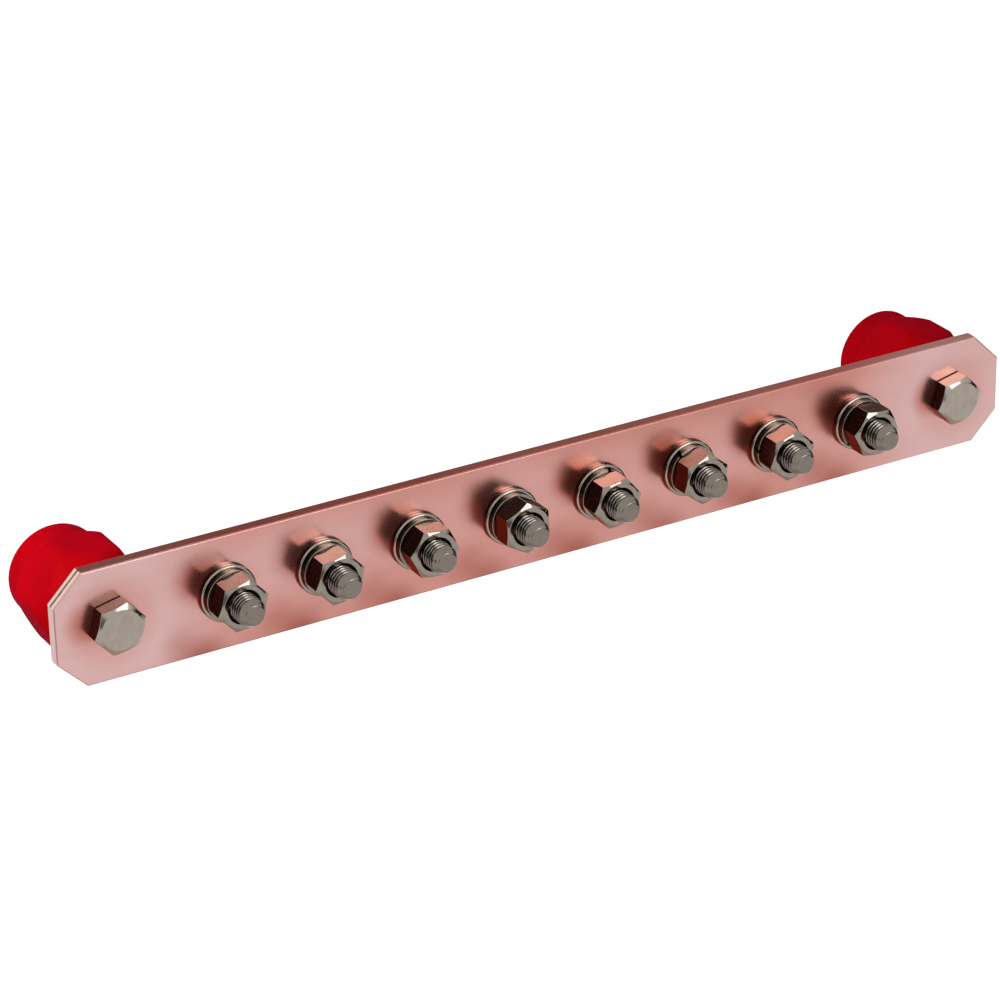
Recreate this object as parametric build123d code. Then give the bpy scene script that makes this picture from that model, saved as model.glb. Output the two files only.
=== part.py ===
import os
from math import cos, radians, tan

from build123d import *

# Rack grounding busbar: a flat copper bar with cut corners, held off the wall by two moulded
# insulators and carrying a row of bolted cable terminals. All sizes are in millimetres.
# X runs along the bar, Z is up and the bar faces -Y. The insulators stand on the wall, the
# plane Y = 0, and the origin lies midway between their fixing threads.

# Bar
terminal_count = 8
terminal_pitch = 35.0
fixing_gap = 40.0  # from the last terminal to the insulator
end_margin = 20.0  # from the insulator's axis to the end of the bar
bar_width = 40.0
bar_thickness = 5.0
corner_cut = 10.0
bar_edge_round = 0.6
bar_hole_clearance = 1.0  # on the diameter, over the thread

# Threads, which are drawn as plain cylinders
thread_diameter = 10.0
thread_clearance = 0.1  # on the diameter, in nuts and inserts
thread_end_chamfer = 1.6
stud_projection = 7.4  # bolt end in front of the nut

# Bolt heads
head_across_flats = 16.0
head_height = 6.4
head_face_diameter = 14.6  # flat inside the chamfer
head_bearing_diameter = 14.6
head_bearing_height = 0.4

# Nuts and washers
nut_across_flats = 16.0
nut_height = 8.4
nut_face_diameter = 15.0
nut_mouth_chamfer = 0.9
hexagon_chamfer_angle = 30.0
flat_washer_diameter = 20.0
flat_washer_thickness = 2.0
flat_washer_clearance = 0.5  # on the diameter, over the thread
flat_washer_edge_round = 0.4
spring_washer_width = 3.95  # across its section
spring_washer_thickness = 2.2
spring_washer_clearance = 0.2  # on the diameter, over the thread
spring_washer_split = 1.2
spring_washer_slant = 22.0  # of the split, in degrees from the axis

# Insulators: round lips at both ends, a shallow waist behind each and a six-sided belly
insulator_height = 40.0
end_diameter = 32.8
end_lip = 3.0
end_edge_round = 1.5
lip_round = 6.0
waist_diameter = 31.8
waist_run = 5.0  # from the lip to the bottom of the waist
waist_round = 8.0
flank_run = 6.2  # from the waist to the belly
wall_fill = 0.98  # share of a straight wall that the rounds at its two ends may take
belly_across_flats = 35.2
belly_corner_round = 2.0

# Threaded inserts
insert_wall = 2.5
insert_length = 14.0
insert_floor = 1.5
insert_mouth_chamfer = 0.5
insert_groove_start = 4.0
insert_groove_width = 2.5
insert_groove_depth = 0.9
bolt_end_room = 1.5  # between an insulator bolt and the bottom of its hole

# How far each loose piece happens to be turned, in degrees from a corner along X
nut_turns = (12, 12, 55, 30, 9, 21, 17, 54)
bolt_turn_from_nut = 20
insulator_bolt_turn = 12
insulator_turns = {"left": 55.0, "right": 47.5}
first_split_turn = 250
next_split_turn = 47

# Places worked out from the sizes above
fixing_x = (terminal_count - 1) * terminal_pitch / 2 + fixing_gap
bar_length = 2 * (fixing_x + end_margin)
bar_front = insulator_height + bar_thickness
spring_washer_seat = bar_front + flat_washer_thickness
nut_seat = spring_washer_seat + spring_washer_thickness
terminal_bolt_length = nut_seat + nut_height + stud_projection - insulator_height
insert_hole_depth = insert_length - insert_floor
insulator_bolt_length = bar_thickness + insert_hole_depth - bolt_end_room

wall = Plane(origin=(0, 0, 0), x_dir=(1, 0, 0), z_dir=(0, -1, 0))
upside_down = Rot(180, 0, 0)
on_base = (Align.CENTER, Align.CENTER, Align.MIN)


def place(part, x, height, turn=0.0):
    """Set a piece drawn along +Z at its height off the wall."""
    return wall * Pos(x, 0, height) * Rot(0, 0, turn) * part


def turned(points, radii=0.0):
    """Revolve an outline of (radius, height) points, from axis to axis."""
    outline = FilletPolyline(*[(r, 0, z) for r, z in points], radius=radii)
    axis_line = Line(outline @ 1, outline @ 0)
    return revolve(make_face([outline, axis_line]), Axis.Z)


def fitted_rounds(points, radii):
    """Limit each round to what the straight walls beside its corner can hold."""
    corners = [Vector(*point) for point in points]
    walls = [end - start for start, end in zip(corners, corners[1:])]
    needs = [r * tan(radians(a.get_angle(b) / 2)) for r, a, b in zip(radii, walls, walls[1:])]
    shares = []
    for wall, before, after in zip(walls, [0] + needs, needs + [0]):
        room = wall_fill * wall.length
        shares.append(room / max(before + after, room))
    return [r * min(before, after) for r, before, after in zip(radii, shares, shares[1:])]


def corner_radius(across_flats):
    return across_flats / 2 / cos(radians(30))


def chamfered_hexagon(across_flats, height, face_diameter, both_ends):
    """Hexagon prism with its corners turned off at the bottom, or at both ends."""
    prism = extrude(RegularPolygon(across_flats / 2, 6, major_radius=False), height)
    outer = corner_radius(across_flats) + 1
    face = face_diameter / 2
    drop = (outer - face) * tan(radians(hexagon_chamfer_angle))
    cone = [(0, 0), (face, 0), (outer, drop)]
    if both_ends:
        cone += [(outer, height - drop), (face, height), (0, height)]
    else:
        cone += [(outer, height), (0, height)]
    return prism & turned(cone)


def round_edges(part, radius):
    return [e for e in part.edges().filter_by(GeomType.CIRCLE) if abs(e.radius - radius) < 1e-6]


def make_busbar():
    half_length = bar_length / 2
    half_width = bar_width / 2
    quarter = [
        (half_length, half_width - corner_cut),
        (half_length - corner_cut, half_width),
    ]
    upper = quarter + [(-x, z) for x, z in reversed(quarter)]
    lower = [(-x, -z) for x, z in upper]
    bar = extrude(make_face(Polyline(*upper, *lower, close=True)), bar_thickness)
    rims = bar.faces().filter_by(Axis.Z).edges()
    bar = fillet(rims, bar_edge_round)
    hole_radius = (thread_diameter + bar_hole_clearance) / 2
    hole = Cylinder(hole_radius, bar_thickness, align=on_base)
    for x in terminal_places() + [-fixing_x, fixing_x]:
        bar -= Pos(x, 0, 0) * hole
    return bar


def terminal_places():
    first = -(terminal_count - 1) * terminal_pitch / 2
    return [first + i * terminal_pitch for i in range(terminal_count)]


def make_bolt(length):
    """Bolt with its bearing face at height 0, its head below and its shank above."""
    head = chamfered_hexagon(
        head_across_flats, head_height - head_bearing_height, head_face_diameter, both_ends=False
    )
    bearing = Cylinder(head_bearing_diameter / 2, head_bearing_height, align=on_base)
    shank = Cylinder(thread_diameter / 2, length, align=on_base)
    shank = chamfer(shank.edges().sort_by(Axis.Z)[-1], thread_end_chamfer)
    return Pos(0, 0, -head_height) * head + Pos(0, 0, -head_bearing_height) * bearing + shank


def make_nut():
    nut = chamfered_hexagon(nut_across_flats, nut_height, nut_face_diameter, both_ends=True)
    bore = (thread_diameter + thread_clearance) / 2
    nut -= Cylinder(bore, nut_height, align=on_base)
    return chamfer(round_edges(nut, bore), nut_mouth_chamfer)


def make_flat_washer():
    disc = Cylinder(flat_washer_diameter / 2, flat_washer_thickness, align=on_base)
    disc = fillet(disc.edges().sort_by(Axis.Z)[-1], flat_washer_edge_round)
    bore = (thread_diameter + flat_washer_clearance) / 2
    return disc - Cylinder(bore, flat_washer_thickness, align=on_base)


def make_spring_washer():
    bore = (thread_diameter + spring_washer_clearance) / 2
    ring = Cylinder(bore + spring_washer_width, spring_washer_thickness, align=on_base)
    ring -= Cylinder(bore, spring_washer_thickness, align=on_base)
    blade = Box(2 * spring_washer_width, spring_washer_split, 3 * spring_washer_thickness)
    middle = Pos(bore + spring_washer_width / 2, 0, spring_washer_thickness / 2)
    return ring - middle * Rot(spring_washer_slant, 0, 0) * blade


def insert_body():
    """Outside of an insert, from its mouth at height 0, with the groove that keys it."""
    outer = thread_diameter / 2 + insert_wall
    groove = outer - insert_groove_depth
    groove_end = insert_groove_start + insert_groove_width
    return turned(
        [
            (0, 0),
            (outer, 0),
            (outer, insert_groove_start),
            (groove, insert_groove_start),
            (groove, groove_end),
            (outer, groove_end),
            (outer, insert_length),
            (0, insert_length),
        ]
    )


def make_insert():
    bore = (thread_diameter + thread_clearance) / 2
    insert = insert_body() - Cylinder(bore, insert_hole_depth, align=on_base)
    mouth = [e for e in round_edges(insert, bore) if e.center().Z < insert_hole_depth / 2]
    return chamfer(mouth, insert_mouth_chamfer)


def make_insulator():
    """Lip, waist and flank are turned, and the belly is cut to six flats with round corners."""
    waist = end_lip + waist_run
    lower = [
        (end_diameter / 2, 0),
        (end_diameter / 2, end_lip),
        (waist_diameter / 2, waist),
        (corner_radius(belly_across_flats), waist + flank_run),
    ]
    lower_radii = [end_edge_round, lip_round, waist_round, 0]
    upper = [(r, insulator_height - z) for r, z in reversed(lower)]
    outline = [(0, 0)] + lower + upper + [(0, insulator_height)]
    drum = turned(outline, fitted_rounds(outline, lower_radii + lower_radii[::-1]))
    prism = extrude(RegularPolygon(belly_across_flats / 2, 6, major_radius=False), insulator_height)
    prism = fillet(prism.edges().filter_by(Axis.Z), belly_corner_round)
    body = drum & prism
    body -= insert_body()
    return body - Pos(0, 0, insulator_height) * upside_down * insert_body()


parts = {"busbar": place(make_busbar(), 0, insulator_height)}

for side, x in (("left", -fixing_x), ("right", fixing_x)):
    insulator_bolt = upside_down * make_bolt(insulator_bolt_length)
    parts[f"insulator_{side}"] = place(make_insulator(), x, 0, insulator_turns[side])
    parts[f"back_insert_{side}"] = place(make_insert(), x, 0)
    parts[f"front_insert_{side}"] = place(upside_down * make_insert(), x, insulator_height)
    parts[f"insulator_bolt_{side}"] = place(insulator_bolt, x, bar_front, insulator_bolt_turn)

for i, x in enumerate(terminal_places()):
    number = i + 1
    nut_turn = nut_turns[i % len(nut_turns)]
    bolt = make_bolt(terminal_bolt_length)
    split_turn = first_split_turn + i * next_split_turn
    parts[f"terminal_bolt_{number}"] = place(bolt, x, insulator_height, nut_turn + bolt_turn_from_nut)
    parts[f"flat_washer_{number}"] = place(make_flat_washer(), x, bar_front)
    parts[f"spring_washer_{number}"] = place(make_spring_washer(), x, spring_washer_seat, split_turn)
    parts[f"terminal_nut_{number}"] = place(make_nut(), x, nut_seat, nut_turn)

os.makedirs("parts", exist_ok=True)
for name, part in parts.items():
    part.label = name
    export_step(part, f"parts/{name}.step")
print(len(parts), "pieces, bar", bar_length, "x", bar_width, "x", bar_thickness, "mm")
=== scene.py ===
import math

import bmesh
import bpy
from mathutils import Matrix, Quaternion, Vector


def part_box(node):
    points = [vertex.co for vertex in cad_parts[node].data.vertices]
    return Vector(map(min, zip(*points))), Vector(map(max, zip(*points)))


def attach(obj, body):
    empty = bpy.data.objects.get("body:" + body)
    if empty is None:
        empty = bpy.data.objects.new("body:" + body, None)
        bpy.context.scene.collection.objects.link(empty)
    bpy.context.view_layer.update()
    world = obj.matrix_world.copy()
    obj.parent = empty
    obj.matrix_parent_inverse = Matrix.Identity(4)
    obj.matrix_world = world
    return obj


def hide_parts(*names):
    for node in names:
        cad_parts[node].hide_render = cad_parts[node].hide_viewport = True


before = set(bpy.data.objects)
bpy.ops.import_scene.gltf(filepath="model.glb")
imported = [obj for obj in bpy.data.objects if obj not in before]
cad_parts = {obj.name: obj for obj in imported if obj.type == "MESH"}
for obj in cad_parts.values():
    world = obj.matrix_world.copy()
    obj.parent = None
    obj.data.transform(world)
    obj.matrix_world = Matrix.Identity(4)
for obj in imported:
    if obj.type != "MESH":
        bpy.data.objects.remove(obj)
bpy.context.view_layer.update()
scene = bpy.context.scene
mm = 0.001
terminals = range(1, 9)
sides = ("left", "right")
print("frame loaded,", len(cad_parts), "CAD nodes")


# Places of the CAD pieces
def middleX(node):
    low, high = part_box(node)
    return (low.x + high.x) / 2


def seatOf(node):  # x along the bar, and how far its back is off the wall
    return middleX(node), -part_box(node)[1].y


barLow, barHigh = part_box("busbar")
pitch = middleX("flat_washer_2") - middleX("flat_washer_1")
fixingX = (middleX("back_insert_right") - middleX("back_insert_left")) / 2
studTip = barHigh.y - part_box("terminal_bolt_1")[0].y  # bolt end, from the back of the bar


def addObject(name, data):
    made = bpy.data.objects.new(name, data)
    scene.collection.objects.link(made)
    return made


# Node helpers, for shader trees and geometry trees alike
def feed(tree, socket, value):
    if isinstance(value, bpy.types.NodeSocket):
        tree.links.new(value, socket)
    else:
        socket.default_value = value


def addNode(tree, kind, inputs=None, **settings):
    made = tree.nodes.new(kind)
    for key, value in settings.items():
        setattr(made, key, value)
    for key, value in (inputs or {}).items():
        feed(tree, made.inputs[key], value)
    return made


def calc(tree, operation, *values):
    made = addNode(tree, "ShaderNodeMath", operation=operation)
    for socket, value in zip(made.inputs, values):
        feed(tree, socket, value)
    return made.outputs[0]


def chain(tree, operation, result, *others):
    for value in others:
        result = calc(tree, operation, result, value)
    return result


def product(tree, *values):
    return chain(tree, "MULTIPLY", *values)


def largest(tree, *values):
    return chain(tree, "MAXIMUM", *values)


def fade(tree, factor, first, second):
    return addNode(tree, "ShaderNodeMix", {0: factor, 2: first, 3: second}).outputs[0]


def blend(tree, factor, first, second, mode="MIX"):
    inputs = {0: factor, 6: first, 7: second}  # the colour sockets
    return addNode(tree, "ShaderNodeMix", inputs, data_type="RGBA", blend_type=mode).outputs[2]


def rise(tree, value, low, high):  # 0 at low, 1 at high, smooth between, either way round
    inputs = {"Value": value, "From Min": low, "From Max": high}
    return addNode(tree, "ShaderNodeMapRange", inputs, interpolation_type="SMOOTHSTEP").outputs[0]


def between(tree, value, low, high):
    return addNode(tree, "ShaderNodeMapRange", {"Value": value, "To Min": low, "To Max": high}).outputs[0]


def reach(tree, across, up):
    squares = [calc(tree, "POWER", side, 2.0) for side in (across, up)]
    return calc(tree, "SQRT", calc(tree, "ADD", *squares))


# Camera, at the photograph's viewing angle
cameraView = {
    "azimuth": -29.985,
    "elevation": 25.549,
    "roll": -1.090,
    "lens": 145.40,
    "sensor": 36,
    "place": (-0.62237, -1.08708, 0.58162),
}


def makeCamera():
    azimuth, elevation, roll = (
        math.radians(cameraView[key]) for key in ("azimuth", "elevation", "roll")
    )
    back = Vector((
        math.sin(azimuth) * math.cos(elevation),
        -math.cos(azimuth) * math.cos(elevation),
        math.sin(elevation),
    ))
    data = bpy.data.cameras.new("photoCamera")
    data.lens = cameraView["lens"]
    data.sensor_width = cameraView["sensor"]
    camera = addObject("photoCamera", data)
    camera.rotation_mode = "QUATERNION"
    camera.rotation_quaternion = Quaternion(back, roll) @ (-back).to_track_quat("-Z", "Y")
    camera.location = cameraView["place"]
    scene.camera = camera


# Studio: white floor, large soft lamps, and a room that only reflections see
studio = {
    "floorDrop": 0.36,
    "floorSize": 16.0,
    "floorLift": 0.90,  # what the camera sees on top of the lit floor
    "paper": (0.50, 0.50, 0.50, 1),
    "white": (1, 1, 1, 1),
    "surround": 0.28,
    "metalLamp": "softBox",  # metal sees this lamp alone, and everything else sees only the others
    "lamps": (  # name, place, size, power
        ("softBox", (0.37, -0.96, 0.61), 0.64, 4.2),
        ("keyLamp", (-0.50, -1.30, 1.30), 1.2, 4.5),
        ("sideLamp", (-0.46, -0.12, 0.27), 0.4, 1.5),
        ("rimLamp", (-0.65, 1.17, 0.68), 0.5, 1.2),
        ("fillLamp", (0.80, 0.85, 0.45), 0.5, 1.8),
    ),
}

# What metal mirrors: a white room whose front is dark left of the camera and level with it.
# Each zone is full where every one of its directions has passed from its first value to its second.
room = {
    "white": (1.0, 1.0, 0.99, 1),
    "black": (0.010, 0.004, 0.003, 1),
    "red": (0.50, 0.090, 0.050, 1),
    "brown": (0.24, 0.11, 0.09, 1),
    "tan": (0.48, 0.34, 0.31, 1),
    "secondBounce": (2.4, 2.6),  # the world counts itself as one bounce
    "front": (("y", -0.42, -0.62),),
    "table": (("x", 0.18, 0.34), ("z", -0.53, -0.47), ("z", -0.22, -0.30)),
    "ceiling": (("z", 0.33, 0.45), ("x", 0.0, 0.25)),
    "rightWall": (("x", 0.55, 0.75), ("level", 0.24, 0.10)),
    "leftSide": (("x", -0.10, -0.40), ("y", 0.35, 0.10)),
    "leftFront": (("x", -0.24, -0.42), ("z", 0.40, 0.25), ("z", -0.22, -0.10)),
    "tableEdge": (("z", -0.62, -0.78),),
    "below": (("z", -0.72, -0.86),),
    "reddened": (("z", -0.14, -0.34),),
    "backWall": (("y", 0.45, 0.60), ("z", -0.10, 0.05), ("x", -0.15, 0.15)),
    "backRight": (("x", 0.40, 0.56),),
    "leftFrontDark": 0.80,  # how dark these are when a surface mirrors them directly
    "tableEdgeDark": 0.30,
    "belowDark": 0.40,
}


def mirroredRoom(tree):
    way = addNode(tree, "ShaderNodeTexCoord").outputs["Generated"]
    axes = dict(zip("xyz", addNode(tree, "ShaderNodeSeparateXYZ", {0: way}).outputs))
    axes["level"] = calc(tree, "ABSOLUTE", axes["z"])

    def zone(name):
        return product(tree, *[rise(tree, axes[axis], low, high) for axis, low, high in room[name]])

    front, rightWall = zone("front"), zone("rightWall")
    leftFront = product(tree, front, zone("leftFront"), room["leftFrontDark"])
    tableEdge = product(tree, front, zone("tableEdge"), room["tableEdgeDark"])
    below = product(tree, zone("below"), room["belowDark"])
    direct = largest(tree, leftFront, tableEdge, below, rightWall)
    lit = largest(tree, zone("table"), zone("ceiling"))
    unlit = product(tree, front, calc(tree, "SUBTRACT", 1.0, lit))
    deep = largest(tree, unlit, rightWall, zone("leftSide"))
    bounce = addNode(tree, "ShaderNodeLightPath").outputs["Ray Depth"]
    dark = fade(tree, rise(tree, bounce, *room["secondBounce"]), direct, deep)
    shade = blend(tree, zone("reddened"), room["black"], room["red"])
    brown = blend(tree, zone("backRight"), room["brown"], room["tan"])
    bright = blend(tree, zone("backWall"), room["white"], brown)
    return blend(tree, dark, bright, shade)


def makeWorld():
    world = bpy.data.worlds.new("studioWorld")
    world.use_nodes = True
    world.cycles.sampling_method = "NONE"
    scene.world = world
    tree = world.node_tree
    tree.nodes.clear()

    def glow(colour, strength):
        return addNode(tree, "ShaderNodeBackground", {"Color": colour, "Strength": strength}).outputs[0]

    rays = addNode(tree, "ShaderNodeLightPath").outputs
    soft, plain = glow(studio["white"], studio["surround"]), glow(studio["white"], 1.0)
    mirrored = glow(mirroredRoom(tree), 1.0)
    straight = largest(tree, rays["Is Camera Ray"], rays["Is Transmission Ray"])
    mixed = addNode(tree, "ShaderNodeMixShader", {0: straight, 1: soft, 2: plain}).outputs[0]
    glossy = {0: rays["Is Glossy Ray"], 1: mixed, 2: mirrored}
    mixed = addNode(tree, "ShaderNodeMixShader", glossy).outputs[0]
    addNode(tree, "ShaderNodeOutputWorld", {"Surface": mixed})


def makeFloor():
    mesh = bpy.data.meshes.new("floor")
    half = studio["floorSize"] / 2
    corners = [(-half, -half, 0), (half, -half, 0), (half, half, 0), (-half, half, 0)]
    mesh.from_pydata(corners, [], [(0, 1, 2, 3)])
    floor = addObject("floor", mesh)
    floor.location.z = -studio["floorDrop"]
    floor.visible_glossy = False  # the room stands in for it there
    paper = bpy.data.materials.new("whitePaper")
    paper.use_nodes = True
    tree = paper.node_tree
    tree.nodes.clear()
    matt = addNode(tree, "ShaderNodeBsdfDiffuse", {"Color": studio["paper"]}).outputs[0]
    rays = addNode(tree, "ShaderNodeLightPath").outputs
    seen = largest(tree, rays["Is Camera Ray"], rays["Is Glossy Ray"], rays["Is Transmission Ray"])
    lift = product(tree, seen, studio["floorLift"])
    glow = addNode(tree, "ShaderNodeEmission", {"Color": studio["white"], "Strength": lift}).outputs[0]
    both = addNode(tree, "ShaderNodeAddShader", {0: matt, 1: glow}).outputs[0]
    addNode(tree, "ShaderNodeOutputMaterial", {"Surface": both})
    floor.data.materials.append(paper)


def makeLamps():
    for name, place, size, power in studio["lamps"]:
        data = bpy.data.lights.new(name, "AREA")
        data.shape = "DISK"
        data.size = size
        data.energy = power
        lamp = addObject(name, data)
        lamp.location = place
        lamp.visible_camera = False
        lamp.visible_glossy = name == studio["metalLamp"]
        lamp.visible_diffuse = name != studio["metalLamp"]
        lamp.rotation_mode = "QUATERNION"
        lamp.rotation_quaternion = (-Vector(place)).to_track_quat("-Z", "Y")


makeCamera()
makeWorld()
makeFloor()
makeLamps()
scene.view_settings.view_transform = "Standard"
print("camera and studio ready")


# Materials
def newMaterial(name, sockets):
    material = bpy.data.materials.new(name)
    material.use_nodes = True
    tree = material.node_tree
    shader = tree.nodes["Principled BSDF"]
    for label, value in sockets.items():
        shader.inputs[label].default_value = value
    place = addNode(tree, "ShaderNodeTexCoord").outputs["Object"]
    return material, tree, shader.inputs, place


def noiseAt(tree, place, scale, stretch=(1, 1, 1), detail=3.0):
    placed = addNode(tree, "ShaderNodeMapping", {"Vector": place, "Scale": stretch}).outputs[0]
    inputs = {"Vector": placed, "Scale": scale, "Detail": detail}
    return addNode(tree, "ShaderNodeTexNoise", inputs).outputs["Fac"]


def ramp(tree, value, stops):
    made = addNode(tree, "ShaderNodeValToRGB", {"Fac": value})
    elements = made.color_ramp.elements
    while len(elements) < len(stops):
        elements.new(0.5)
    for element, (at, colour) in zip(elements, stops):
        element.position = at
        element.color = (*colour, 1)
    return made.outputs["Color"]


def darken(tree, tone, pattern, strength, darkest, span):
    shade = ramp(tree, pattern, list(zip(span, (darkest, (1, 1, 1)))))
    return blend(tree, strength, tone, shade, "MULTIPLY")


def addBump(tree, sockets, height, strength, distance):
    inputs = {"Height": height, "Strength": strength, "Distance": distance}
    feed(tree, sockets["Normal"], addNode(tree, "ShaderNodeBump", inputs).outputs[0])


# A pair of distances runs from where an effect is nil to where it is full
copperFinish = {
    "pale": (0.685, 0.440, 0.428),
    "pink": (0.630, 0.315, 0.282),
    "flushed": (0.500, 0.148, 0.110),
    "pinkAt": 0.32 / 0.7,  # on the way from pale, 0, to flushed, 1
    "specular": 0.2,
    "rowEnds": (155 * mm, 115 * mm),  # the bar is redder between its terminals than at its ends
    "palest": 5 * mm,  # height of its palest line
    "offPalest": (3 * mm, 20 * mm),
    "palestFlush": 0.37,
    "rimFlush": 0.26,  # what the long edges have on top of that
    # painted reflection: the copper is redder near the studs and the heads
    "nearStud": (24 * mm, 9 * mm),
    "studReflectionFlush": 0.45,
    "nearHead": (20 * mm, 9 * mm),
    "headReflectionFlush": 0.30,
    "cloudFlush": 0.9,
    "reflectionAndShadeSpots": (  # painted reflection of each nut up and left of its stud, then painted shade below: right of a stud and up, reach, strength, tone
        ((-10 * mm, 7 * mm), (12 * mm, 0), 0.80, (0.44, 0.066, 0.034)),
        ((-17 * mm, -15 * mm), (11 * mm, 0), 0.36, (0.36, 0.080, 0.050)),
        ((-9 * mm, -22 * mm), (12 * mm, 1 * mm), 0.72, (0.36, 0.080, 0.050)),
    ),
    # painted reflection of each insulator bolt's head, left of it
    "headReflectionSpot": ((-9 * mm, 2 * mm), (10 * mm, 1 * mm), 0.72, (0.44, 0.066, 0.034)),
    "spotsStart": (-152 * mm, -143 * mm),  # along the bar
    "spotsEnd": (137 * mm, 122 * mm),
    "spotsDepth": (1.5 * mm, 0.5 * mm),  # below the front face
    "patchy": (0.4, 1.6),  # how far its strength varies
    "spotMatt": 0.20,  # how far the painted spots, where strongest, lose their metal shine
    "grain": (22, 3800, 3800),  # per metre, so a streak is some 45 mm long
    "grainShade": (0.03, (0.4, 0.4, 0.4), (0.3, 0.7)),  # strength, darkest, span of the pattern
    "grainBump": 0.04,
    "bands": (5, 240, 240),
    "bandShade": (0.08, (0.55, 0.5, 0.5), (0.3, 0.7)),
    "blotches": 17.0,
    "blotchStretch": (0.8, 1, 1.5),
    "roughness": (0.20, 0.28),
    "grainRoughness": 0.2,  # share of the grain in it, beside the blotches
    "edgeStart": (0.02 * mm, 0.15 * mm),  # the deburred front edge, rougher and darkened with painted shade that tones down its highlight, by depth below the face
    "edgeEnd": (0.8 * mm, 0.6 * mm),
    "edgeRoughness": 0.70,
    "edgePaintedShade": (0.78, 0.74, 0.72),
    "cornerCut": 10 * mm,
    "cutSkin": (0.5 * mm, 0.3 * mm),
    # the sheared corner faces: paler, and lightened further as a painted highlight
    "sheared": (0.84, 0.60, 0.54),
    "tearDepth": 2.6 * mm,  # where the cut corners tore when they were sheared
    "tearWidth": 0.9 * mm,
    "tearWander": 0.5 * mm,
    "tearWaves": 700.0,
    "torn": (0.09, 0.03, 0.02),
    "bump": (0.35, 0.06 * mm),
}


# Distance along the bar from the nearest of the points that lie this far right of a stud
def offStud(tree, x, right=0.0):
    half = pitch / 2  # the first studs are half a pitch off the middle
    return calc(tree, "WRAP", calc(tree, "SUBTRACT", x, half + right), half, -half)


def copperFlush(tree, x, z, cloud):
    c = copperFinish
    along = calc(tree, "ABSOLUTE", x)
    inRow = rise(tree, along, *c["rowEnds"])
    # painted reflection: redder copper near the studs and the heads
    nearStud = rise(tree, reach(tree, offStud(tree, x), z), *c["nearStud"])
    nearHead = rise(tree, reach(tree, calc(tree, "SUBTRACT", along, fixingX), z), *c["nearHead"])
    offPalest = calc(tree, "ABSOLUTE", calc(tree, "SUBTRACT", z, c["palest"]))
    rims = rise(tree, offPalest, *c["offPalest"])
    flush = largest(
        tree,
        product(tree, inRow, calc(tree, "MULTIPLY_ADD", rims, c["rimFlush"], c["palestFlush"])),
        product(tree, inRow, nearStud, c["studReflectionFlush"]),
        product(tree, nearHead, c["headReflectionFlush"]),
    )
    uneven = calc(tree, "MULTIPLY_ADD", cloud, c["cloudFlush"], -c["cloudFlush"] / 2)
    return calc(tree, "ADD", flush, uneven)


# Strength and tone of each spot of painted reflection and painted shade, on the front face beside the studs
# and the heads
def paintedLightSpots(tree, x, z, depth, cloud):
    c = copperFinish
    onFront = rise(tree, depth, *c["spotsDepth"])
    inRow = product(tree, rise(tree, x, *c["spotsStart"]), rise(tree, x, *c["spotsEnd"]))
    patchy = between(tree, cloud, *c["patchy"])
    spots = []
    for (right, up), limits, strength, tone in c["reflectionAndShadeSpots"]:
        away = reach(tree, offStud(tree, x, right), calc(tree, "SUBTRACT", z, up))
        spots.append((product(tree, onFront, inRow, patchy, rise(tree, away, *limits), strength), tone))
    (right, up), limits, strength, tone = c["headReflectionSpot"]
    for axis in (-fixingX, fixingX):
        away = reach(tree, calc(tree, "SUBTRACT", x, axis + right), calc(tree, "SUBTRACT", z, up))
        spots.append((product(tree, onFront, rise(tree, away, *limits), strength), tone))
    return spots


# The four cut corners, and the wavy line where they tore
def copperCorners(tree, place, x, z, depth):
    c = copperFinish
    cutOut = barHigh.x + barHigh.z - c["cornerCut"]  # |x| + |z| on the cuts
    out = calc(tree, "ADD", calc(tree, "ABSOLUTE", x), calc(tree, "ABSOLUTE", z))
    onCut = rise(tree, out, *[cutOut - skin for skin in c["cutSkin"]])
    fromTear = calc(tree, "ABSOLUTE", calc(tree, "SUBTRACT", depth, c["tearDepth"]))
    waves = noiseAt(tree, place, c["tearWaves"], detail=2)
    wavy = calc(tree, "MULTIPLY_ADD", waves, c["tearWander"], fromTear)
    middle = c["tearWander"] / 2
    return onCut, product(tree, onCut, rise(tree, wavy, middle + c["tearWidth"], middle))


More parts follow.
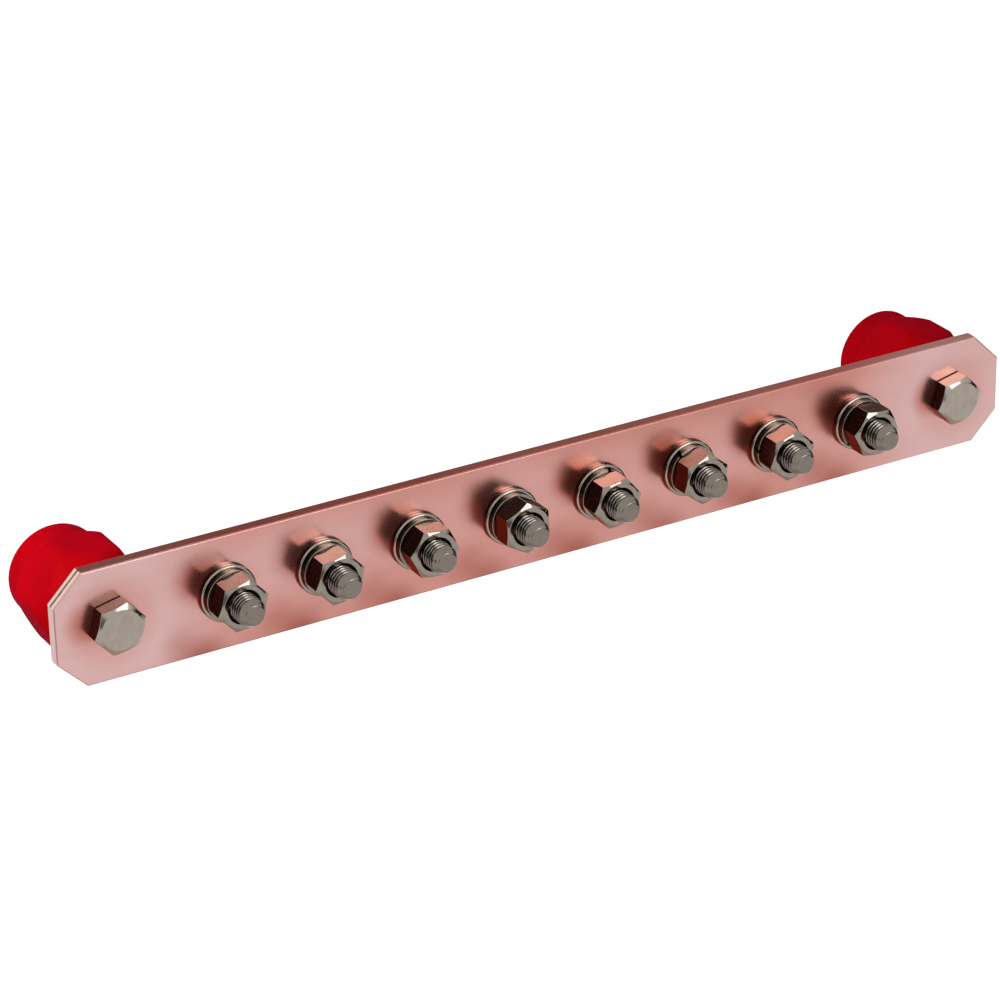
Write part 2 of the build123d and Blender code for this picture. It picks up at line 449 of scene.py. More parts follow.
def copperMaterial():
    c = copperFinish
    material, tree, sockets, place = newMaterial("drawnCopper", {"Specular IOR Level": c["specular"]})
    x, y, z = addNode(tree, "ShaderNodeSeparateXYZ", {0: place}).outputs
    depth = calc(tree, "SUBTRACT", y, barLow.y)
    grain = noiseAt(tree, place, 1, c["grain"], detail=4)
    bands = noiseAt(tree, place, 1, c["bands"])
    cloud = noiseAt(tree, place, c["blotches"], c["blotchStretch"], detail=4)
    flush = copperFlush(tree, x, z, cloud)
    tone = ramp(tree, flush, [(0, c["pale"]), (c["pinkAt"], c["pink"]), (1, c["flushed"])])
    # painted reflection and painted shade beside the studs and the heads; they also dull the metal
    spotStrength = 0.0
    for spot, colour in paintedLightSpots(tree, x, z, depth, cloud):
        tone = blend(tree, spot, tone, (*colour, 1))
        spotStrength = largest(tree, spot, spotStrength)
    tone = darken(tree, tone, bands, *c["bandShade"])
    tone = darken(tree, tone, grain, *c["grainShade"])
    onCut, torn = copperCorners(tree, place, x, z, depth)
    # sheared corner faces, paler and lightened as a painted highlight
    tone = blend(tree, onCut, tone, (*c["sheared"], 1))
    tone = blend(tree, torn, tone, (*c["torn"], 1))
    onEdge = product(tree, rise(tree, depth, *c["edgeStart"]), rise(tree, depth, *c["edgeEnd"]))
    # painted shade on the front edge, toning down its highlight
    tone = blend(tree, onEdge, tone, (*c["edgePaintedShade"], 1), "MULTIPLY")
    feed(tree, sockets["Base Color"], tone)
    feed(tree, sockets["Metallic"], calc(tree, "MULTIPLY_ADD", spotStrength, -c["spotMatt"], 1.0))
    dull = between(tree, blend(tree, c["grainRoughness"], cloud, grain), *c["roughness"])
    feed(tree, sockets["Roughness"], fade(tree, onEdge, dull, c["edgeRoughness"]))
    relief = calc(tree, "SUBTRACT", product(tree, grain, c["grainBump"]), torn)
    addBump(tree, sockets, relief, *c["bump"])
    return material


steelFinish = {
    "light": (0.350, 0.304, 0.260),
    "dull": (0.318, 0.274, 0.233),
    "mottle": 420.0,
    "mottleSpan": (0.35, 0.62),
    "bump": (0.012, 0.05 * mm),
    "scuffs": 2600.0,
    "scuffStretch": (1, 0.25, 1),
    "scuffShade": (0.10, (0.5, 0.5, 0.5), (0.35, 0.6)),
    # oil and painted shade in recesses
    "oilAndShade": (0.020, 0.018, 0.016),
    "oilAndShadeFade": 0.4 * mm,
}


# oil and painted shade in recesses: it darkens the metal from one radius of the piece's own form in to
# another, and below a height
def steelMaterial(name, shade, roughness, oilAndShade=None):
    c = steelFinish
    material, tree, sockets, place = newMaterial(name, {"Metallic": 1.0})
    mottle = noiseAt(tree, place, c["mottle"], detail=4)
    scuffs = noiseAt(tree, place, c["scuffs"], c["scuffStretch"])
    tones = [[part * shade for part in c[key]] for key in ("dull", "light")]
    tone = ramp(tree, mottle, list(zip(c["mottleSpan"], tones)))
    tone = darken(tree, tone, scuffs, *c["scuffShade"])
    if oilAndShade:
        outer, inner, top = oilAndShade
        own = addNode(tree, "ShaderNodeAttribute", attribute_name="own").outputs["Vector"]
        x, y, height = addNode(tree, "ShaderNodeSeparateXYZ", {0: own}).outputs
        inside = rise(tree, reach(tree, x, y), outer, inner)
        oilyAndShaded = product(tree, inside, rise(tree, height, top, top - c["oilAndShadeFade"]))
        tone = blend(tree, oilyAndShaded, tone, (*c["oilAndShade"], 1))
    feed(tree, sockets["Base Color"], tone)
    feed(tree, sockets["Roughness"], between(tree, scuffs, *roughness))
    addBump(tree, sockets, mottle, *c["bump"])
    return material


redFinish = {
    "bright": (0.57, 0.001, 0.003),
    "deep": (0.48, 0.001, 0.002),
    "clouds": 60.0,
    "cloudSpan": (0.3, 0.6),
    "peel": 900.0,
    "bump": (0.05, 0.1 * mm),
    "sockets": {
        "Roughness": 0.36, "Specular IOR Level": 0.0,
        "Coat Weight": 0.03, "Coat Roughness": 0.3, "Coat IOR": 1.5,
        "Sheen Weight": 0.015, "Sheen Roughness": 0.8, "Sheen Tint": (0.5, 0.0, 1.0, 1),
    },
}


def redMaterial():
    c = redFinish
    material, tree, sockets, place = newMaterial("mouldedRed", c["sockets"])
    clouds = noiseAt(tree, place, c["clouds"], detail=4)
    tone = ramp(tree, clouds, list(zip(c["cloudSpan"], (c["deep"], c["bright"]))))
    feed(tree, sockets["Base Color"], tone)
    addBump(tree, sockets, noiseAt(tree, place, c["peel"], detail=2), *c["bump"])
    return material


brassFinish = {
    "light": (0.78, 0.60, 0.28),
    "dark": (0.55, 0.39, 0.15),
    "clouds": 300.0,
    "cloudSpan": (0.35, 0.6),
    "sockets": {"Metallic": 1.0, "Roughness": 0.28},
    "rings": 2200.0,  # turning marks per metre
    "bump": (0.12, 0.02 * mm),
}


def brassMaterial():
    c = brassFinish
    material, tree, sockets, place = newMaterial("turnedBrass", c["sockets"])
    axes = addNode(tree, "ShaderNodeSeparateXYZ", {0: place}).outputs
    aside = calc(tree, "SUBTRACT", calc(tree, "ABSOLUTE", axes["X"]), fixingX)
    radius = reach(tree, aside, axes["Z"])
    rings = calc(tree, "SINE", product(tree, radius, c["rings"] * 2 * math.pi))
    cloud = noiseAt(tree, place, c["clouds"])
    feed(tree, sockets["Base Color"], ramp(tree, cloud, list(zip(c["cloudSpan"], (c["dark"], c["light"])))))
    addBump(tree, sockets, rings, *c["bump"])
    return material


anyHeight = 1.0
oilAndShadeTop = studTip - 2.6 * mm  # the oil and painted shade stay behind the clean point of a stud
copper = copperMaterial()
# lighter and darker copies of one stainless steel, each set to how bright that piece looks: painted light
# and shade
headSteel = steelMaterial("headStainless", shade=1.08, roughness=(0.13, 0.20))
# the nut's mouth and the thread's roots darkened with oil and painted shade
nutSteel = steelMaterial(
    "nutStainless", shade=0.84, roughness=(0.08, 0.12), oilAndShade=(6.05 * mm, 5.85 * mm, anyHeight),
)
threadSteel = steelMaterial(
    "rolledThread", shade=0.64, roughness=(0.17, 0.25), oilAndShade=(4.85 * mm, 4.50 * mm, oilAndShadeTop),
)
washerSteel = steelMaterial("washerStainless", shade=1.0, roughness=(0.08, 0.14))
springSteel = steelMaterial("springStainless", shade=0.80, roughness=(0.16, 0.30))
red = redMaterial()
brass = brassMaterial()
print("materials ready")


# Geometry tree helpers
def newTree(name, sizes=(), counts=(), objects=()):
    tree = bpy.data.node_groups.new(name, "GeometryNodeTree")
    tree.interface.new_socket("Geometry", in_out="OUTPUT", socket_type="NodeSocketGeometry")
    labels = [("Geometry", "Geometry"), ("Material", "Material")]
    for kind, group in (("Float", sizes), ("Int", counts), ("Object", objects)):
        labels += [(label, kind) for label in group]
    for label, kind in labels:
        tree.interface.new_socket(label, in_out="INPUT", socket_type="NodeSocket" + kind)
    return tree, tree.nodes.new("NodeGroupInput").outputs


def runTree(name, host, tree, values):
    modifier = host.modifiers.new(name, "NODES")
    modifier.node_group = tree
    for item in tree.interface.items_tree:
        if item.item_type == "SOCKET" and item.in_out == "INPUT" and item.name in values:
            modifier[item.identifier] = values[item.name]


def plainMesh(host, name):
    host.update_tag()
    depsgraph = bpy.context.evaluated_depsgraph_get()
    mesh = bpy.data.meshes.new_from_object(
        host.evaluated_get(depsgraph), preserve_all_data_layers=True, depsgraph=depsgraph,
    )
    mesh.name = name
    bpy.data.objects.remove(host)
    return addObject(name, mesh)


def finishPiece(piece, stands):
    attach(piece, "root")
    if stands:
        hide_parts(*stands)
    print("piece", piece.name, len(piece.data.polygons), "faces")


def softenEdges(piece, width, segments=2, angle=22):
    bevel = piece.modifiers.new("softEdges", "BEVEL")
    bevel.width = width
    bevel.segments = segments
    bevel.limit_method = "ANGLE"
    bevel.angle_limit = math.radians(angle)
    bevel.harden_normals = True
    return plainMesh(piece, piece.name)


# A point for each place of a repeated piece: x along the bar, z off the wall, with its own turn
def pointHost(name, points):
    mesh = bpy.data.meshes.new(name)
    mesh.from_pydata([(x, 0, seat) for x, seat, turn in points], [], [])
    turns = mesh.attributes.new("turn", "FLOAT", "POINT")
    turns.data.foreach_set("value", [math.radians(turn) for x, seat, turn in points])
    return addObject(name, mesh)


# A template drawn along +Z stands at each point, and the lot is laid on the wall
def layOnWall(tree, entry, template):
    own = addNode(tree, "GeometryNodeInputPosition").outputs[0]
    kept = addNode(
        tree, "GeometryNodeStoreNamedAttribute", {"Geometry": template, "Name": "own", "Value": own},
        data_type="FLOAT_VECTOR", domain="POINT",
    ).outputs[0]
    turn = addNode(tree, "GeometryNodeInputNamedAttribute", {"Name": "turn"}, data_type="FLOAT")
    spin = addNode(tree, "ShaderNodeCombineXYZ", {"Z": turn.outputs[0]}).outputs[0]
    spread = addNode(tree, "GeometryNodeInstanceOnPoints", {
        "Points": entry["Geometry"], "Instance": kept, "Rotation": spin,
    }).outputs[0]
    real = addNode(tree, "GeometryNodeRealizeInstances", {"Geometry": spread}).outputs[0]
    laid = addNode(tree, "GeometryNodeTransform", {"Geometry": real, "Rotation": (math.pi / 2, 0, 0)})
    painted = addNode(tree, "GeometryNodeSetMaterial", {
        "Geometry": laid.outputs[0], "Material": entry["Material"],
    }).outputs[0]
    addNode(tree, "NodeGroupOutput", {0: painted})


sharpAngle = math.radians(33)
weldDistance = 0.002 * mm
filletSteps = 8
threadFlank = (0.08, 0.66)  # on the way from a thread's root to its crest
threadShare = 0.92  # of a bore's rows follow its thread, and the rest its outer wall


def smoothButSharp(tree, geometry):
    smooth = addNode(
        tree, "GeometryNodeSetShadeSmooth", {"Geometry": geometry, "Shade Smooth": True}, domain="FACE",
    ).outputs[0]
    bend = addNode(tree, "GeometryNodeInputMeshEdgeAngle").outputs["Unsigned Angle"]
    sharp = addNode(
        tree, "FunctionNodeCompare", {0: bend, 1: sharpAngle}, data_type="FLOAT", operation="GREATER_THAN",
    ).outputs[0]
    inputs = {"Geometry": smooth, "Selection": sharp, "Shade Smooth": False}
    return addNode(tree, "GeometryNodeSetShadeSmooth", inputs, domain="EDGE").outputs[0]


# Grid of columns round the axis and rows along it, with u and v from 0 to 1
def wrapGrid(tree, columns, rows):
    grid = addNode(tree, "GeometryNodeMeshGrid", {
        "Size X": 1.0, "Size Y": 1.0, "Vertices X": columns, "Vertices Y": rows,
    })
    spot = addNode(tree, "GeometryNodeInputPosition").outputs[0]
    axes = addNode(tree, "ShaderNodeSeparateXYZ", {0: spot}).outputs
    return grid.outputs["Mesh"], calc(tree, "ADD", axes["X"], 0.5), calc(tree, "ADD", axes["Y"], 0.5)


def fullTurn(tree, u):
    return product(tree, u, 2 * math.pi)


def wrapRound(tree, mesh, angle, radius, height):
    spot = addNode(tree, "ShaderNodeCombineXYZ", {
        "X": product(tree, radius, calc(tree, "COSINE", angle)),
        "Y": product(tree, radius, calc(tree, "SINE", angle)),
        "Z": height,
    }).outputs[0]
    moved = addNode(tree, "GeometryNodeSetPosition", {"Geometry": mesh, "Position": spot}).outputs[0]
    weld = {"Geometry": moved, "Distance": weldDistance}
    return addNode(tree, "GeometryNodeMergeByDistance", weld).outputs[0]


def rowTree():
    tree, entry = newTree("hardwareRow", objects=("Template",))
    shape = addNode(
        tree, "GeometryNodeObjectInfo", {"Object": entry["Template"]}, transform_space="ORIGINAL",
    )
    layOnWall(tree, entry, shape.outputs["Geometry"])
    return tree


# 0 in a right-hand thread's root, 1 on its crest
def threadWave(tree, height, threadPitch, u):
    turns = calc(tree, "SUBTRACT", calc(tree, "DIVIDE", height, threadPitch), u)
    phase = calc(tree, "FRACT", turns)
    return rise(tree, calc(tree, "ABSOLUTE", calc(tree, "MULTIPLY_ADD", phase, 2.0, -1.0)), *threadFlank)


def threadTree():
    sizes = ("Radius", "Depth", "Pitch", "Start", "Tip", "Tip Radius", "Tip Round", "Tip Slope")
    tree, entry = newTree("threadedEnd", sizes, ("Columns", "Rows"))
    mesh, u, v = wrapGrid(tree, entry["Columns"], entry["Rows"])
    tip, tipRound = entry["Tip"], entry["Tip Round"]
    core = calc(tree, "SUBTRACT", entry["Radius"], entry["Depth"])
    first = calc(tree, "SUBTRACT", entry["Start"], core)
    last = calc(tree, "ADD", tip, entry["Tip Radius"])
    run = calc(tree, "MULTIPLY_ADD", v, calc(tree, "SUBTRACT", last, first), first)
    height = largest(tree, calc(tree, "SMOOTH_MIN", run, tip, tipRound), entry["Start"])
    wave = threadWave(tree, height, entry["Pitch"], u)
    radius = calc(tree, "MULTIPLY_ADD", wave, entry["Depth"], core)
    left = calc(tree, "SUBTRACT", tip, run)  # long point, then the flat end
    point = product(tree, largest(tree, left, 0.0), entry["Tip Slope"])
    lead = chain(tree, "ADD", entry["Tip Radius"], point, calc(tree, "MINIMUM", left, 0.0))
    foot = calc(tree, "SUBTRACT", run, first)
    radius = calc(tree, "MINIMUM", calc(tree, "SMOOTH_MIN", radius, lead, tipRound), foot)
    shape = wrapRound(tree, mesh, fullTurn(tree, u), largest(tree, radius, 0.0), height)
    layOnWall(tree, entry, smoothButSharp(tree, shape))
    return tree


# Ring with a thread inside: in along the thread, then back up its outer wall
def boreTree():
    sizes = ("Wall", "Radius", "Depth", "Pitch", "Start", "End")
    tree, entry = newTree("threadedBore", sizes, ("Columns", "Rows"))
    mesh, u, v = wrapGrid(tree, entry["Columns"], entry["Rows"])
    row = calc(tree, "DIVIDE", 1.0, calc(tree, "SUBTRACT", entry["Rows"], 1.0))
    wallStart = calc(tree, "ADD", row, threadShare)
    inward = calc(tree, "MINIMUM", calc(tree, "DIVIDE", v, threadShare), 1.0)
    pastThread = largest(tree, calc(tree, "SUBTRACT", v, wallStart), 0.0)
    outward = calc(tree, "DIVIDE", pastThread, calc(tree, "SUBTRACT", 1.0, wallStart))
    share = calc(tree, "ADD", calc(tree, "SUBTRACT", 1.0, inward), outward)
    length = calc(tree, "SUBTRACT", entry["End"], entry["Start"])
    height = calc(tree, "MULTIPLY_ADD", share, length, entry["Start"])
    cut = product(tree, threadWave(tree, height, entry["Pitch"], u), entry["Depth"])
    radius = calc(tree, "SUBTRACT", entry["Radius"], cut)
    halfRow = product(tree, row, 0.5)
    behind = calc(tree, "GREATER_THAN", v, calc(tree, "SUBTRACT", wallStart, halfRow))
    onWall = largest(tree, behind, calc(tree, "LESS_THAN", v, halfRow))
    radius = calc(tree, "MULTIPLY_ADD", onWall, calc(tree, "SUBTRACT", entry["Wall"], radius), radius)
    shape = wrapRound(tree, mesh, fullTurn(tree, u), radius, height)
    layOnWall(tree, entry, smoothButSharp(tree, shape))
    return tree


# A turned outline, cut back to a hexagon where it stands out past the flats
def turnedTree():
    tree, entry = newTree(
        "turnedForm", ("Across Flats", "Corner Radius", "Blend"), ("Columns",), ("Outline",),
    )
    line = addNode(
        tree, "GeometryNodeObjectInfo", {"Object": entry["Outline"]}, transform_space="ORIGINAL",
    ).outputs["Geometry"]
    curve = addNode(tree, "GeometryNodeMeshToCurve", {"Mesh": line}).outputs[0]
    rounds = addNode(tree, "GeometryNodeInputNamedAttribute", {"Name": "round"}, data_type="FLOAT")
    curve = addNode(tree, "GeometryNodeFilletCurve", {
        "Curve": curve, "Radius": rounds.outputs[0], "Count": filletSteps, "Limit Radius": True,
    }, mode="POLY").outputs[0]
    size = addNode(tree, "GeometryNodeAttributeDomainSize", {"Geometry": curve}, component="CURVE")
    count = size.outputs["Point Count"]
    mesh, u, v = wrapGrid(tree, entry["Columns"], count)
    index = calc(tree, "ROUND", product(tree, v, calc(tree, "SUBTRACT", count, 1.0)))
    spot = addNode(tree, "GeometryNodeInputPosition").outputs[0]
    taken = addNode(
        tree, "GeometryNodeSampleIndex", {"Geometry": curve, "Value": spot, "Index": index},
        data_type="FLOAT_VECTOR", domain="POINT",
    ).outputs[0]
    profile = addNode(tree, "ShaderNodeSeparateXYZ", {0: taken}).outputs
    angle = fullTurn(tree, u)
    sixth = math.pi / 6
    offFlat = calc(tree, "WRAP", calc(tree, "SUBTRACT", angle, sixth), sixth, -sixth)
    flat = calc(tree, "DIVIDE", product(tree, entry["Across Flats"], 0.5), calc(tree, "COSINE", offFlat))
    hexagon = calc(tree, "SMOOTH_MIN", flat, entry["Corner Radius"], entry["Blend"])
    radius = calc(tree, "SMOOTH_MIN", profile["X"], hexagon, entry["Blend"])
    shape = wrapRound(tree, mesh, angle, radius, profile["Z"])
    layOnWall(tree, entry, smoothButSharp(tree, shape))
    return tree


hardwareRow, threadedEnd, threadedBore, turnedForm = rowTree(), threadTree(), boreTree(), turnedTree()
print("geometry trees ready")


# Closed form from rows of (radius, height), each row a list with one entry per column
def rowsToObject(name, rows, closed):
    form = bmesh.new()
    columns = max(len(row) for row in rows)
    rings = []
    for row in rows:
        if len(row) == 1:
            rings.append([form.verts.new((0, 0, row[0][1]))])
            continue
        ring = []
        for i, (radius, height) in enumerate(row):
            angle = 2 * math.pi * i / columns
            ring.append(form.verts.new((radius * math.cos(angle), radius * math.sin(angle), height)))
        rings.append(ring)
    pairs = list(zip(rings, rings[1:])) + ([(rings[-1], rings[0])] if closed else [])
    for low, high in pairs:
        for i in range(columns):
            j = (i + 1) % columns
            if len(low) == 1:
                form.faces.new((low[0], high[i], high[j]))
            elif len(high) == 1:
                form.faces.new((low[i], high[0], low[j]))
            else:
                form.faces.new((low[i], high[i], high[j], low[j]))
    bmesh.ops.recalc_face_normals(form, faces=form.faces)
    mesh = bpy.data.meshes.new(name)
    form.to_mesh(mesh)
    form.free()
    mesh.shade_smooth()
    return addObject(name, mesh)


hexColumns = 72
chamferSlope = math.tan(math.radians(30))


def hexRadius(acrossFlats, column):
    offFlat = (360.0 * column / hexColumns) % 60 - 30
    return acrossFlats / 2 / math.cos(math.radians(offFlat))


def evenRow(radius, height):
    return [(radius, height)] * hexColumns


# Hexagon edge turned off to the face circle: the row where cone and flats meet
def coneRow(acrossFlats, face, height, up):
    row = []
    for column in range(hexColumns):
        radius = hexRadius(acrossFlats, column)
        row.append((radius, height + up * (radius - face) * chamferSlope))
    return row


def hexRow(acrossFlats, height):
    return [(hexRadius(acrossFlats, column), height) for column in range(hexColumns)]


# Terminal nuts
nut = {
    "acrossFlats": 16 * mm, "height": 8.4 * mm, "faceRadius": 7.5 * mm, "bore": 5.05 * mm,
    "mouth": 0.9 * mm, "mouthDepth": 1.5 * mm, "edge": 0.14 * mm,
    "turns": (12, 12, 55, 30, 9, 21, 17, 54),
}


def makeNuts():
    n = nut
    af, face, top, bore = n["acrossFlats"], n["faceRadius"], n["height"], n["bore"]
    mouth, deep = bore + n["mouth"], n["mouthDepth"]
    rows = [
        evenRow(bore, deep), evenRow(mouth, 0), evenRow(face, 0), coneRow(af, face, 0, 1),
        coneRow(af, face, top, -1), evenRow(face, top), evenRow(mouth, top), evenRow(bore, top - deep),
    ]
    template = rowsToObject("nutTemplate", rows, True)
    names = [f"terminal_nut_{i}" for i in terminals]
    host = pointHost("terminalNuts", [(*seatOf(name), turn) for name, turn in zip(names, n["turns"])])
    runTree("row", host, hardwareRow, {"Template": template, "Material": nutSteel})
    piece = softenEdges(plainMesh(host, "terminalNuts"), n["edge"])
    bpy.data.objects.remove(template)
    finishPiece(piece, names)


makeNuts()


# Outline for a turned form, from corners of (radius, height, round)
def outlineHost(name, corners):
    mesh = bpy.data.meshes.new(name)
    lines = [(i, i + 1) for i in range(len(corners) - 1)]
    mesh.from_pydata([(radius, 0, height) for radius, height, bend in corners], lines, [])
    rounds = mesh.attributes.new("round", "FLOAT", "POINT")
    rounds.data.foreach_set("value", [bend for radius, height, bend in corners])
    return addObject(name, mesh)


# Flat washers
flatWasher = {
    "bore": 5.25 * mm, "radius": 10 * mm, "thickness": 2 * mm, "edge": 0.7 * mm, "burr": 0.15 * mm,
    "columns": 97,
}


def makeFlatWashers():
    w = flatWasher
    bore, radius, top, burr = w["bore"], w["radius"], w["thickness"], w["burr"]
    start = (bore + radius) / 2
    corners = [
        (start, 0, 0), (radius, 0, burr), (radius, top, w["edge"]),
        (bore, top, burr), (bore, 0, burr), (start, 0, 0),
    ]
    outline = outlineHost("washerOutline", corners)
    names = [f"flat_washer_{i}" for i in terminals]
    host = pointHost("flatWashers", [(*seatOf(name), 0) for name in names])
    far = 1.0  # no flats
    runTree("turned", host, turnedForm, {
        "Outline": outline, "Across Flats": far, "Corner Radius": far, "Blend": 0.0,
        "Columns": w["columns"], "Material": washerSteel,
    })
    piece = plainMesh(host, "flatWashers")
    bpy.data.objects.remove(outline)
    finishPiece(piece, names)


# Spring washers, split on a slant
springWasher = {
    "bore": 5.1 * mm, "radius": 9.05 * mm, "thickness": 2.2 * mm, "edge": 0.22 * mm, "edgeSteps": 3,
    "gap": 1.2 * mm, "slant": 22, "firstTurn": 250, "nextTurn": 47, "steps": 84, "sharpAngle": 35,
}


def springSection():  # rounded rectangle, anticlockwise in radius and height
    w = springWasher
    bore, radius, top, edge = w["bore"], w["radius"], w["thickness"], w["edge"]
    section = []
    for r, z, start in ((radius, 0, 270), (radius, top, 0), (bore, top, 90), (bore, 0, 180)):
        middleR = r + math.copysign(edge, (bore + radius) / 2 - r)
        middleZ = z + math.copysign(edge, top / 2 - z)
        for k in range(w["edgeSteps"] + 1):
            a = math.radians(start + 90 * k / w["edgeSteps"])
            section.append((middleR + edge * math.cos(a), middleZ + edge * math.sin(a)))
    return section


def springTemplate():
    w = springWasher
    section = springSection()
    form = bmesh.new()
    rings = []
    for step in range(w["steps"] + 1):
        ring = []
        for r, z in section:
            ends = w["gap"] / 2 / r
            lean = (z - w["thickness"] / 2) * math.tan(math.radians(w["slant"])) / r
            a = ends + (2 * math.pi - 2 * ends) * step / w["steps"] + lean
            ring.append(form.verts.new((r * math.cos(a), r * math.sin(a), z)))
        rings.append(ring)
    for low, high in zip(rings, rings[1:]):
        for i in range(len(section)):
            j = (i + 1) % len(section)
            form.faces.new((low[i], low[j], high[j], high[i]))
    form.faces.new(rings[0])
    form.faces.new(rings[-1])
    bmesh.ops.recalc_face_normals(form, faces=form.faces)
    for edge in form.edges:
        edge.smooth = edge.calc_face_angle(0) < math.radians(w["sharpAngle"])
    mesh = bpy.data.meshes.new("springTemplate")
    form.to_mesh(mesh)
    form.free()
    for face in mesh.polygons:
        face.use_smooth = True
    return addObject("springTemplate", mesh)


def makeSpringWashers():
    w = springWasher
    template = springTemplate()
    names = [f"spring_washer_{i}" for i in terminals]
    places = []
    for i, name in zip(terminals, names):
        turn = w["firstTurn"] + w["nextTurn"] * (i - 1)
        places.append((middleX(f"flat_washer_{i}"), seatOf(name)[1], turn))
    host = pointHost("springWashers", places)
    runTree("row", host, hardwareRow, {"Template": template, "Material": springSteel})
    piece = plainMesh(host, "springWashers")
    bpy.data.objects.remove(template)
    finishPiece(piece, names)


makeFlatWashers()
makeSpringWashers()


# Bolts: hexagon head with its washer face, plain shank, and a threaded end where it shows
bolt = {
    "acrossFlats": 16 * mm, "headHeight": 6.4 * mm, "faceRadius": 7.0 * mm, "edge": 0.22 * mm,
    "bearingRadius": 7.3 * mm, "bearing": 0.4 * mm, "shank": 4.4 * mm,
    "dish": (4.9 * mm, 4.5 * mm, 0.12 * mm),  # brim, floor and depth of what the heading die leaves
    "hold": 0.15 * mm,  # rows this far from the dish's edge keep the face flat beside it
    "turnFromNut": 20, "insulatorTurn": 12,
    "threadInNut": 2.4 * mm,  # where the thread starts, below the nut's top
    "shankInThread": 0.5 * mm,
}
thread = {
    "Radius": 4.97 * mm, "Depth": 0.55 * mm, "Pitch": 1.5 * mm, "Tip Radius": 3.4 * mm,
    "Tip Round": 0.8 * mm, "Tip Slope": 0.6, "Columns": 73, "Rows": 128,
}


def boltRows(length, up):  # bearing face at height 0, head on the side that up points to
    b = bolt
    af, face, ring = b["acrossFlats"], b["faceRadius"], b["bearingRadius"]
    shank, hold = b["shank"], b["hold"]
    brim, floor, sunk = b["dish"]
    top, dish, bearing = up * b["headHeight"], up * (b["headHeight"] - sunk), up * b["bearing"]
    return [
        [(0, dish)], evenRow(floor - hold, dish), evenRow(floor, dish),
        evenRow(brim, top), evenRow(brim + hold, top), evenRow(face, top), coneRow(af, face, top, -up),
        hexRow(af, bearing), evenRow(ring, bearing), evenRow(ring, 0),
        evenRow(shank, 0), evenRow(shank, -up * length), [(0, -up * length)],
    ]


def boltPiece(name, places, length, up):
    template = rowsToObject("boltTemplate", boltRows(length, up), False)
    host = pointHost(name, places)
    runTree("row", host, hardwareRow, {"Template": template, "Material": headSteel})
    piece = softenEdges(plainMesh(host, name), bolt["edge"])
    bpy.data.objects.remove(template)
    return piece


def makeTerminalBolts():
    seat = -barHigh.y
    turns = [turn + bolt["turnFromNut"] for turn in nut["turns"]]
    places = [(middleX(f"flat_washer_{i}"), seat, turn) for i, turn in zip(terminals, turns)]
    start = -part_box("terminal_nut_1")[0].y - seat - bolt["threadInNut"]
    heads = boltPiece("terminalBolts", places, start + bolt["shankInThread"], -1)
    host = pointHost("boltThreads", places)
    runTree("thread", host, threadedEnd, {**thread, "Start": start, "Tip": studTip, "Material": threadSteel})
    ends = plainMesh(host, "boltThreads")
    finishPiece(heads, [f"terminal_bolt_{i}" for i in terminals])
    finishPiece(ends, [])


def makeInsulatorBolts():
    names = [f"insulator_bolt_{s}" for s in sides]
    low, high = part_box(names[0])
    seat = -low.y - bolt["headHeight"]
    places = [(middleX(f"insulator_{s}"), seat, bolt["insulatorTurn"]) for s in sides]
    finishPiece(boltPiece("insulatorBolts", places, seat + high.y, 1), names)


makeTerminalBolts()
makeInsulatorBolts()


# Moulded insulators: round lips, waists and a six-sided belly that runs into them
insulator = {
    "height": 40 * mm, "endRadius": 16.4 * mm, "endRound": 1.5 * mm, "lip": 3 * mm, "lipRound": 6 * mm,
    "waistRadius": 15.9 * mm, "waistAt": 8 * mm, "waistRound": 8 * mm, "flankSpans": 16,
    "bellyRadius": 20.3 * mm, "bellyAt": 14.2 * mm, "bellySpans": 4,
    "acrossFlats": 35.4 * mm, "cornerRadius": 20.2 * mm, "blend": 2.2 * mm,
    "pocketRadius": 7.5 * mm, "pocketDepth": 14 * mm, "faceSpans": 2,
    "columns": 145, "turns": {"left": 55.0, "right": 47.5},
}


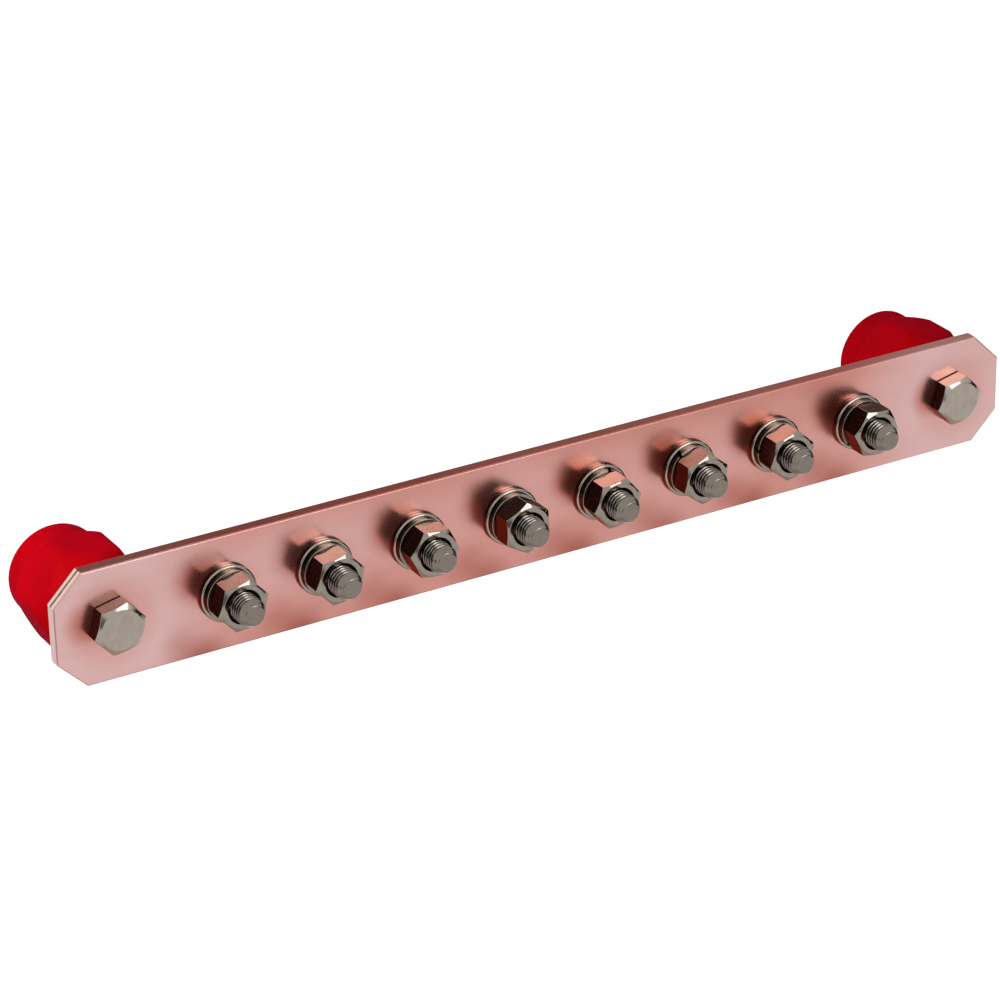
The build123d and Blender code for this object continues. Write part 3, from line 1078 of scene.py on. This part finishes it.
def insulatorCorners():
    p = insulator
    pocket, end, lip = p["pocketRadius"], p["endRadius"], p["lip"]
    half = [  # radius, height, round, and the spans to the next corner
        (0, p["pocketDepth"], 0, 1), (pocket, p["pocketDepth"], 0, 1), (pocket, 0, 0, p["faceSpans"]),
        (end, 0, p["endRound"], 1), (end, lip, p["lipRound"], 1),
        (p["waistRadius"], p["waistAt"], p["waistRound"], p["flankSpans"]),
        (p["bellyRadius"], p["bellyAt"], 0, p["bellySpans"]),
    ]
    ends = [(r, z, bend) for r, z, bend, cuts in half]
    ends += [(r, p["height"] - z, bend) for r, z, bend in reversed(ends)]
    spans = [cuts for r, z, bend, cuts in half]
    spans += spans[-2::-1]
    corners = []
    for (r, z, bend), (nextR, nextZ, _), cuts in zip(ends, ends[1:], spans):
        corners.append((r, z, bend))
        for share in (k / cuts for k in range(1, cuts)):
            corners.append((r + (nextR - r) * share, z + (nextZ - z) * share, 0))
    return corners + ends[-1:]


def makeInsulators():
    p = insulator
    outline = outlineHost("insulatorOutline", insulatorCorners())
    names = [f"insulator_{s}" for s in sides]
    host = pointHost("insulators", [(middleX(f"insulator_{s}"), 0, p["turns"][s]) for s in sides])
    runTree("moulded", host, turnedForm, {
        "Outline": outline, "Across Flats": p["acrossFlats"], "Corner Radius": p["cornerRadius"],
        "Blend": p["blend"], "Columns": p["columns"], "Material": red,
    })
    piece = plainMesh(host, "insulators")
    bpy.data.objects.remove(outline)
    finishPiece(piece, names)


makeInsulators()


# Threads in the wall-end inserts
insertThread = {
    "Wall": 5.1 * mm, "Radius": 5.0 * mm, "Depth": 0.65 * mm, "Pitch": 1.5 * mm,
    "Start": 0.45 * mm, "End": 11.8 * mm, "Columns": 61, "Rows": 101,
}


def makeInsertThreads():
    host = pointHost("insertThreads", [(middleX(f"back_insert_{s}"), 0, 0) for s in sides])
    runTree("thread", host, threadedBore, {**insertThread, "Material": brass})
    finishPiece(plainMesh(host, "insertThreads"), [])


makeInsertThreads()


# CAD nodes whose shape is right take the finish
for name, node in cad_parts.items():
    finish = copper if name == "busbar" else brass if "insert" in name else None
    if finish:
        node.data.materials.clear()
        node.data.materials.append(finish)
print("bar and inserts finished")
